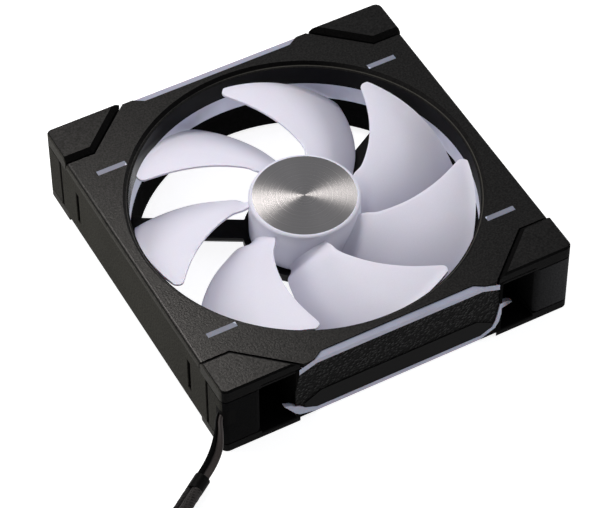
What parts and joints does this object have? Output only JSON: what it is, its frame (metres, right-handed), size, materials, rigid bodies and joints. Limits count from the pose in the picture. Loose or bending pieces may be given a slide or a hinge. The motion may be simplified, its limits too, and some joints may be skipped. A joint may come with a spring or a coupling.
{
  "type": "case fan",
  "caption": "Square axial computer case fan with swept blades in a lit frame: light strips, corner pads, hub motor and a flexible lead with plug.",
  "frame": {"origin": "on the rotor's axis, in the plane under the four bottom corner pads", "axes": "+Z along the rotor's axis towards the intake side with the metal hub disc; -Y is the side whose left end lets the lead out"},
  "size_m": [0.1811, 0.2127, 0.028],
  "materials": {
    "frame_plastic": "finely grained, dark grey-brown",
    "cover_plastic": "finely grained, dark grey-brown, glossier inside the duct",
    "bracket_plastic": "smooth black",
    "corner_rubber": "fine matt",
    "post_plastic": "finely grained",
    "grained_panel": "leather grain, black",
    "badge_plastic": "smooth satin black",
    "diffuser": "milky translucent, unlit, bluish",
    "blade_plastic": "satin white",
    "hub_metal": "spun, fine concentric grooves",
    "yoke_steel": "pressed",
    "magnet": "dull bonded ferrite",
    "shaft_steel": "ground",
    "brass_tube": "turned",
    "sintered_bronze": "porous, oiled",
    "nylon": "smooth natural",
    "core_steel": "stacked laminations",
    "copper_wire": "enamelled wire",
    "board": "solder mask",
    "label": "blank silvered sticker",
    "grommet_rubber": "matt",
    "lead_jacket": "satin ribbon jacket",
    "cable_sleeve": "braided sleeve",
    "collar_plastic": "shrunk tube",
    "tie_fabric": "woven strap",
    "plug_plastic": "smooth black"
  },
  "bodies": {
    "frame": {"badge_plate_back": "badge_plastic", "badge_plate_front": "badge_plastic", "bearing_sleeve": "sintered_bronze", "bearing_tube": "brass_tube", "cable_coil": "cable_sleeve", "cable_collar": "collar_plastic", "cable_run": "cable_sleeve", "cable_tail": "cable_sleeve", "coil_tie": "tie_fabric", "corner_cap_back_left": "corner_rubber", "corner_cap_back_right": "corner_rubber", "corner_cap_front_left": "corner_rubber", "corner_cap_front_right": "corner_rubber", "corner_pad_back_left": "corner_rubber", "corner_pad_back_right": "corner_rubber", "corner_pad_front_left": "corner_rubber", "corner_pad_front_right": "corner_rubber", "corner_post_back_left": "post_plastic", "corner_post_back_right": "post_plastic", "corner_post_front_left": "post_plastic", "corner_post_front_right": "post_plastic", "duct_light_board": "board", "duct_light_ring": "diffuser", "fan_plug": "plug_plastic", "frame_housing": "frame_plastic", "lead_grommet": "grommet_rubber", "lead_ribbon": "lead_jacket", "light_bar_back_left": "diffuser", "light_bar_back_right": "diffuser", "light_bar_front_left": "diffuser", "light_bar_front_right": "diffuser", "light_strip_low_back": "diffuser", "light_strip_low_front": "diffuser", "light_strip_top_back": "diffuser", "light_strip_top_front": "diffuser", "motor_board": "board", "motor_bracket": "bracket_plastic", "rear_label": "label", "side_panel_back": "grained_panel", "side_panel_front": "grained_panel", "stator_core": "core_steel", "stator_insulators": "nylon", "stator_windings": "copper_wire", "thrust_washer": "nylon", "top_cover": "cover_plastic"},
    "rotor": {"impeller": "blade_plastic", "hub_disc": "hub_metal", "rotor_yoke": "yoke_steel", "rotor_magnet": "magnet", "shaft_collar": "brass_tube", "rotor_shaft": "shaft_steel", "shaft_clip": "nylon"}
  },
  "joints": [
    {"name": "rotor_spin", "type": "hinge", "parent": "frame", "child": "rotor", "pos_m": [0, 0, 0.013], "axis": [0, 0, 1], "continuous": true}
  ]
}
